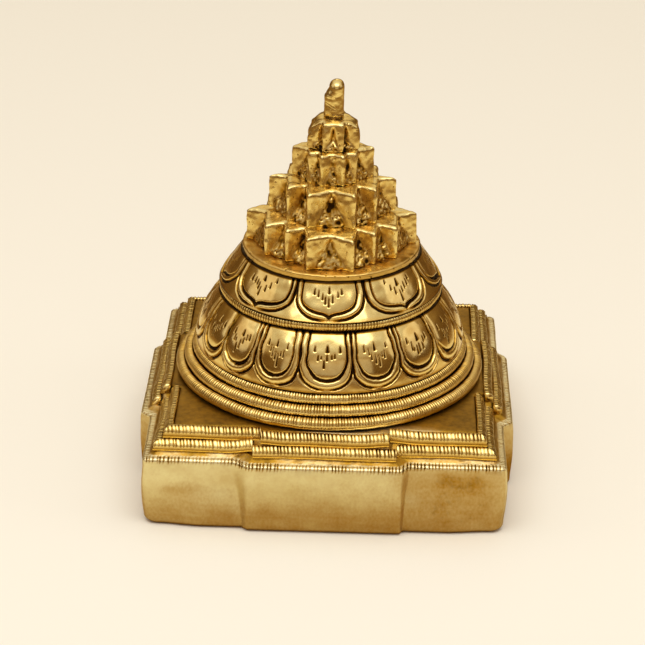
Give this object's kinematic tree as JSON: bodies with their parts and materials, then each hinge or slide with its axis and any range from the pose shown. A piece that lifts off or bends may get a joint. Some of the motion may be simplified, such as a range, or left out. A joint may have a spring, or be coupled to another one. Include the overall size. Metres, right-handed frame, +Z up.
{
  "type": "meru shri yantra",
  "caption": "Cast-brass meru shri yantra: stepped square plinth with gates, milled girdle rings, lotus drums and a crown of star-shaped tiers under a small finial; rests flat on a shelf.",
  "frame": {"origin": "middle of the plinth's underside, on the surface that the object stands on", "axes": "+Z up along the tie rod to the finial, -Y to the front that the picture shows, +X to its right"},
  "size_m": [0.076, 0.076, 0.0814],
  "materials": {
    "satin_brass": "satin, filed",
    "milled_brass": "milled, darkened notches",
    "chased_brass": "polished, chased",
    "cast_brass": "rough cast",
    "rod_brass": "drawn",
    "washer_steel": "plain"
  },
  "bodies": {
    "root": {"plinth": "satin_brass", "lower_strip_front_left": "milled_brass", "lower_strip_front_gate": "milled_brass", "lower_strip_front_right": "milled_brass", "lower_strip_right_left": "milled_brass", "lower_strip_right_gate": "milled_brass", "lower_strip_right_right": "milled_brass", "lower_strip_back_left": "milled_brass", "lower_strip_back_gate": "milled_brass", "lower_strip_back_right": "milled_brass", "lower_strip_left_left": "milled_brass", "lower_strip_left_gate": "milled_brass", "lower_strip_left_right": "milled_brass", "upper_strip_front_left": "milled_brass", "upper_strip_front_gate": "milled_brass", "upper_strip_front_right": "milled_brass", "upper_strip_right_left": "milled_brass", "upper_strip_right_gate": "milled_brass", "upper_strip_right_right": "milled_brass", "upper_strip_back_left": "milled_brass", "upper_strip_back_gate": "milled_brass", "upper_strip_back_right": "milled_brass", "upper_strip_left_left": "milled_brass", "upper_strip_left_gate": "milled_brass", "upper_strip_left_right": "milled_brass", "lower_girdle_ring": "milled_brass", "middle_girdle_ring": "milled_brass", "upper_girdle_ring": "milled_brass", "lower_lotus_drum": "chased_brass", "waist_ring": "milled_brass", "upper_lotus_drum": "chased_brass", "crown_plate": "cast_brass", "star_tier_1": "cast_brass", "star_tier_2": "cast_brass", "star_tier_3": "cast_brass", "star_tier_4": "cast_brass", "bindu_finial": "cast_brass", "tie_rod": "rod_brass", "tie_rod_washer": "washer_steel", "tie_rod_nut": "rod_brass"}
  },
  "joints": []
}
